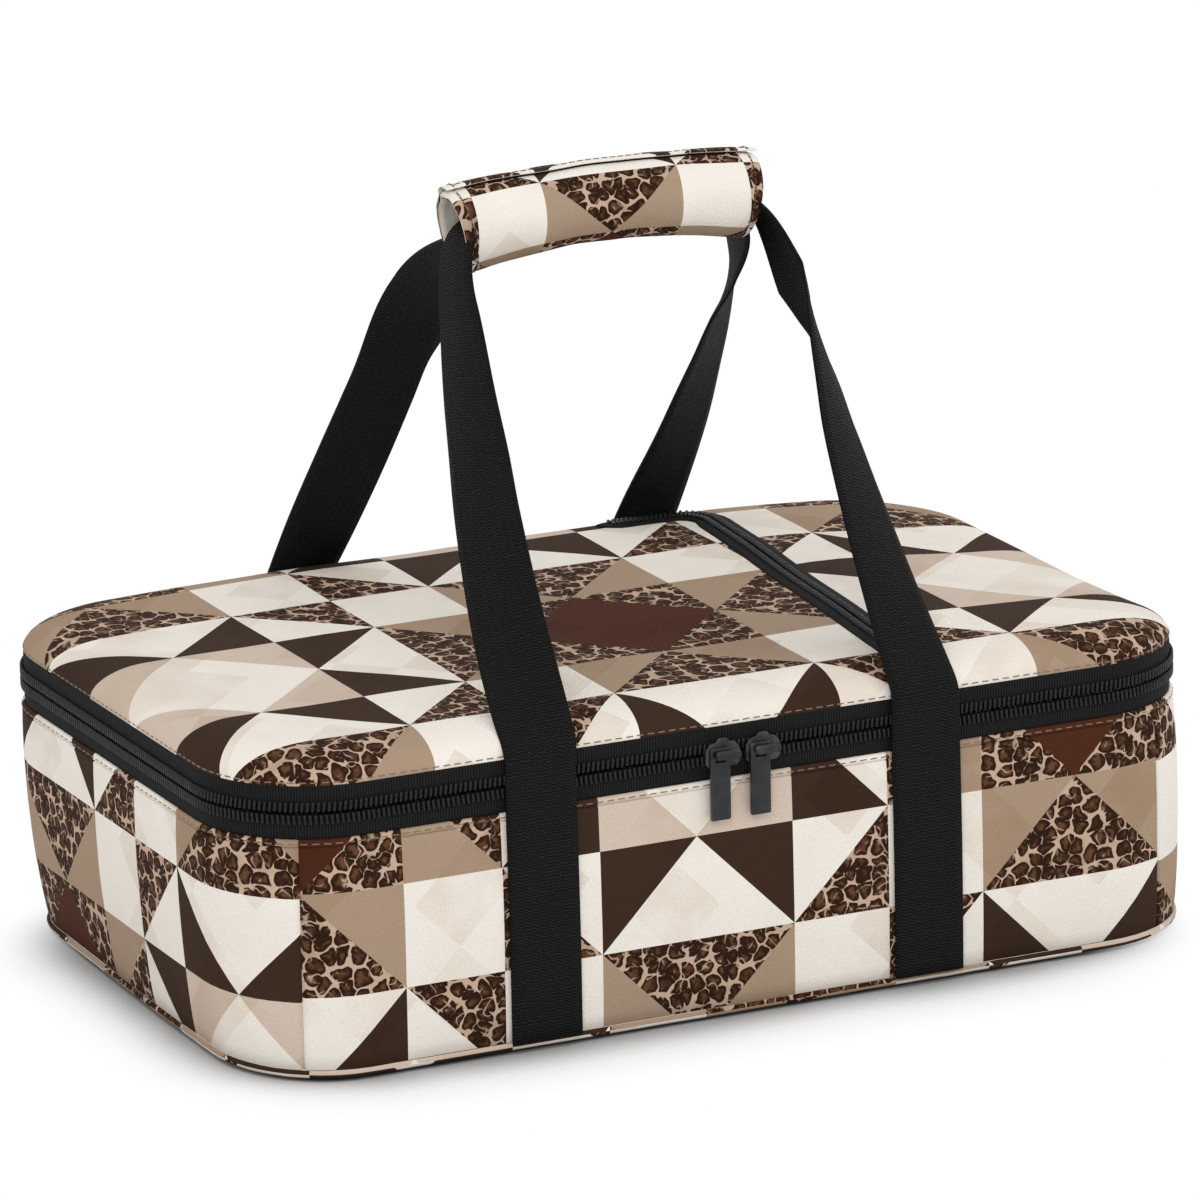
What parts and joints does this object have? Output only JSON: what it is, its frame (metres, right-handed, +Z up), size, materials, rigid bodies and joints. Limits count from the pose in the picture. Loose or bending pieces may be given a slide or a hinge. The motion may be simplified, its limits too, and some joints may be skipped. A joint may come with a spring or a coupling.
{
  "type": "casserole carrier",
  "caption": "Soft insulated casserole carrier with a zipped crowned lid, black webbing loops and a padded handle wrap, in a quilt patchwork and leopard print",
  "frame": {"origin": "centre of the underside, on the surface that the carrier stands on", "axes": "+X along the length to the right seen from the front, +Y from the zip-slider front to the hinged back, +Z up"},
  "size_m": [0.4208, 0.276, 0.3161],
  "materials": {
    "printed_fabric": "printed woven polyester, quilt patchwork and leopard spots in cream, tan and brown",
    "webbing": "black woven webbing with fine ribs",
    "zip_tape": "black woven zip tape",
    "zip_coil": "black nylon coil",
    "slider_metal": "dark enamelled zinc",
    "lining_foil": "silver metallised lining film",
    "pale_fabric": "pale woven lining",
    "foam": "soft insulating foam",
    "board": "stiff plastic board"
  },
  "bodies": {
    "bag": {"bottom_panel": "webbing", "bottom_piping": "printed_fabric", "base_board": "board", "floor_foam": "foam", "lining_floor": "lining_foil", "lining_wall": "lining_foil", "wall_foam": "foam", "back_wall_panel": "printed_fabric", "left_wall_panel": "printed_fabric", "front_wall_panel": "printed_fabric", "right_wall_panel": "printed_fabric", "lower_zip_tape": "zip_tape", "lower_zip_coil": "zip_coil", "back_hinge_strip": "printed_fabric", "front_left_strap_leg": "webbing", "front_right_strap_leg": "webbing", "back_left_strap_leg": "webbing", "back_right_strap_leg": "webbing"},
    "lid": {"lid_cover": "printed_fabric", "pocket_lining": "zip_tape", "lid_foam": "foam", "lid_rim_foam": "foam", "lid_lining": "lining_foil", "upper_zip_tape": "zip_tape", "upper_zip_coil": "zip_coil", "pocket_zip_tape_left": "zip_tape", "pocket_zip_tape_right": "zip_tape", "pocket_zip_coil_left": "zip_coil", "pocket_zip_coil_right": "zip_coil"},
    "front_loop": {"front_strap_loop": "webbing", "wrap_cover": "printed_fabric", "wrap_padding": "foam", "wrap_lining": "pale_fabric", "wrap_loop_tape": "zip_tape"},
    "back_loop": {"back_strap_loop": "webbing"},
    "wrap_flap": {"flap_cover": "printed_fabric", "flap_padding": "foam", "flap_lining": "pale_fabric", "flap_hook_tape": "zip_tape"},
    "left_slider_body": {"left_slider": "slider_metal"},
    "left_pull_body": {"left_pull": "slider_metal"},
    "right_slider_body": {"right_slider": "slider_metal"},
    "right_pull_body": {"right_pull": "slider_metal"},
    "pocket_slider_body": {"pocket_slider": "slider_metal"},
    "pocket_pull_body": {"pocket_pull": "slider_metal"}
  },
  "joints": [
    {"name": "lid_hinge", "type": "hinge", "parent": "bag", "child": "lid", "pos_m": [0, 0.1335, 0.10815], "axis": [-1, 0, 0], "range_deg": [0, 105], "deforming": ["back_hinge_strip"]},
    {"name": "front_loop_drop", "type": "hinge", "parent": "bag", "child": "front_loop", "pos_m": [0, -0.13515, 0.0975], "axis": [1, 0, 0], "range_deg": [0, 139], "deforming": ["front_strap_loop"]},
    {"name": "back_loop_drop", "type": "hinge", "parent": "bag", "child": "back_loop", "pos_m": [0, 0.13515, 0.0975], "axis": [-1, 0, 0], "range_deg": [0, 139], "deforming": ["back_strap_loop"]},
    {"name": "wrap_flap_peel", "type": "hinge", "parent": "front_loop", "child": "wrap_flap", "pos_m": [0.004, 0.00125, 0.27585], "axis": [-1, 0, 0], "range_deg": [0, 140]},
    {"name": "left_slider_slide", "type": "slide", "parent": "bag", "child": "left_slider_body", "axis": [-1, 0, 0], "range_m": [0, 0.14]},
    {"name": "left_pull_swing", "type": "hinge", "parent": "left_slider_body", "child": "left_pull_body", "pos_m": [-0.0115, -0.1371, 0.10815], "axis": [0, 1, 0], "range_deg": [0, 90]},
    {"name": "right_slider_slide", "type": "slide", "parent": "bag", "child": "right_slider_body", "axis": [1, 0, 0], "range_m": [0, 0.14]},
    {"name": "right_pull_swing", "type": "hinge", "parent": "right_slider_body", "child": "right_pull_body", "pos_m": [0.006, -0.1371, 0.10815], "axis": [0, -1, 0], "range_deg": [0, 40]},
    {"name": "pocket_slider_slide", "type": "slide", "parent": "lid", "child": "pocket_slider_body", "axis": [0.0985, 0.9951, 0], "range_m": [0, 0.185]},
    {"name": "pocket_pull_swing", "type": "hinge", "parent": "pocket_slider_body", "child": "pocket_pull_body", "pos_m": [0.08069, -0.11103, 0.1356], "axis": [0, 0, 1], "range_deg": [0, 40]}
  ],
  "couplings": [
    {"joint": "front_loop_drop", "follows": "lid_hinge", "ratio": 1.3238},
    {"joint": "back_loop_drop", "follows": "lid_hinge", "ratio": 1.3238}
  ]
}
